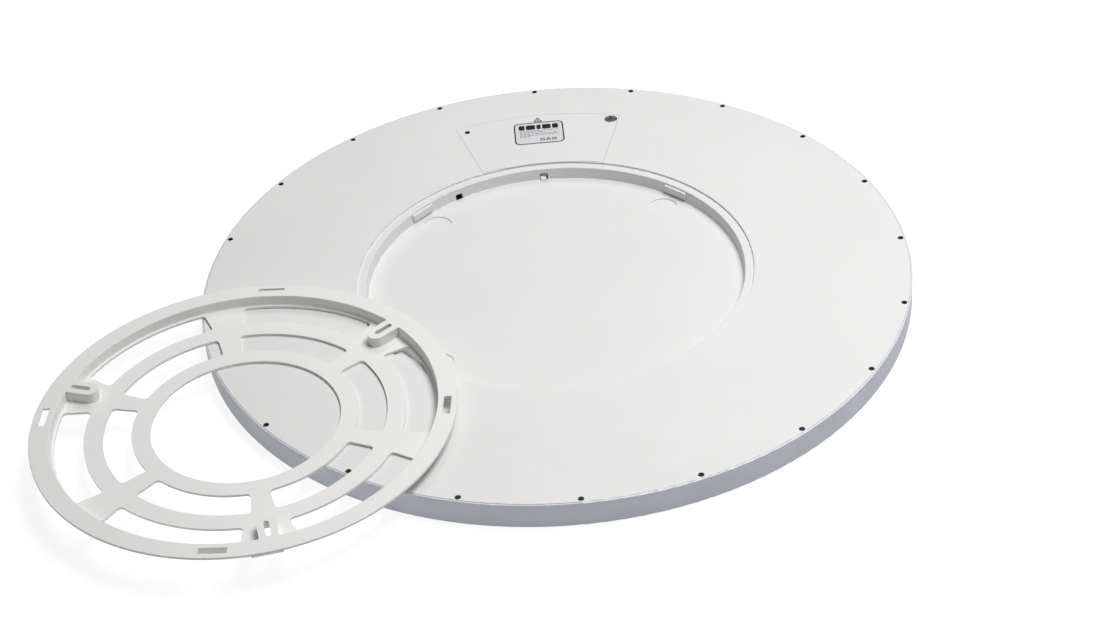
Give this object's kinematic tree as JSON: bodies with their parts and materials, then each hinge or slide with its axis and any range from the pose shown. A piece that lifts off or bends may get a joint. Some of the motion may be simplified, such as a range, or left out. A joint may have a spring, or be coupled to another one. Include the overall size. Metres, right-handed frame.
{
  "type": "round led ceiling light with twist-lock bracket",
  "caption": "Slim round edge-lit ceiling light lying face down, with a recess in its back for the twist-lock ceiling bracket that lies loose over its edge.",
  "frame": {"origin": "centre of the front face, in the plane that the front rim stands on", "axes": "+Z from the front face towards the ceiling side, +Y towards the terminal cover"},
  "size_m": [0.7229, 0.636, 0.0333],
  "materials": {
    "rim_aluminium": "satin",
    "cover_white": "fine matt",
    "bracket_white": "fine matt",
    "screw_black": "black oxide",
    "screw_zinc": "dull zinc",
    "opal_acrylic": "opal",
    "clear_acrylic": "polished",
    "reflector_film": "matt",
    "plate_aluminium": "mill",
    "foam_black": "cellular",
    "strip_white": "solder mask",
    "chip_phosphor": "phosphor",
    "driver_white": "matt",
    "board_green": "solder mask",
    "ferrite_grey": "sintered",
    "can_aluminium": "sleeved",
    "chip_black": "matt",
    "block_grey": "matt",
    "button_orange": "matt",
    "brass_plain": "satin",
    "clamp_black": "matt",
    "bush_rubber": "matt",
    "lead_insulation": "matt",
    "latch_white": "fine matt",
    "label_paper": "printed"
  },
  "bodies": {
    "light": {"rim_frame": "rim_aluminium", "rim_screws": "screw_black", "back_cover": "cover_white", "diffuser": "opal_acrylic", "light_guide": "clear_acrylic", "reflector_sheet": "reflector_film", "backing_plate": "plate_aluminium", "foam_pads": "foam_black", "led_strip": "strip_white", "led_chips": "chip_phosphor", "driver_tray": "driver_white", "driver_lid": "driver_white", "driver_screws": "screw_zinc", "driver_board": "board_green", "driver_transformer": "ferrite_grey", "driver_capacitors": "can_aluminium", "driver_chips": "chip_black", "terminal_block": "block_grey", "terminal_clips": "brass_plain", "earth_tag": "brass_plain", "earth_screw": "brass_plain", "cord_clamp_base": "clamp_black", "cord_clamp_bar": "clamp_black", "cord_clamp_screws": "screw_zinc", "entry_bush": "bush_rubber", "mains_leads": "lead_insulation", "led_leads": "lead_insulation"},
    "latch": {"latch_tongue": "latch_white"},
    "live_button": {"terminal_button_live": "button_orange"},
    "neutral_button": {"terminal_button_neutral": "button_orange"},
    "earth_button": {"terminal_button_earth": "button_orange"},
    "cover": {"terminal_cover": "cover_white", "side_screw": "screw_black", "rating_label": "label_paper", "warning_label": "label_paper"},
    "cover_screw": {"cover_screw": "screw_zinc"},
    "bracket": {"mounting_bracket": "bracket_white"}
  },
  "joints": [
    {"name": "bracket_lift", "type": "slide", "parent": "light", "child": "bracket", "axis": [0, 0, 1], "range_m": [0, 0.15]},
    {"name": "cover_lift", "type": "slide", "parent": "light", "child": "cover", "axis": [0, 0, 1], "range_m": [0, 0.06]},
    {"name": "cover_screw_turn", "type": "hinge", "parent": "cover", "child": "cover_screw", "pos_m": [0.068, 0.234, 0.021], "axis": [0, 0, 1], "continuous": true},
    {"name": "latch_press", "type": "slide", "parent": "light", "child": "latch", "axis": [0, 1, 0], "range_m": [0, 0.0015], "stiffness_N_per_m": 900},
    {"name": "live_button_press", "type": "slide", "parent": "light", "child": "live_button", "axis": [0, 0, -1], "range_m": [0, 0.0012], "stiffness_N_per_m": 1500},
    {"name": "neutral_button_press", "type": "slide", "parent": "light", "child": "neutral_button", "axis": [0, 0, -1], "range_m": [0, 0.0012], "stiffness_N_per_m": 1500},
    {"name": "earth_button_press", "type": "slide", "parent": "light", "child": "earth_button", "axis": [0, 0, -1], "range_m": [0, 0.0012], "stiffness_N_per_m": 1500}
  ]
}
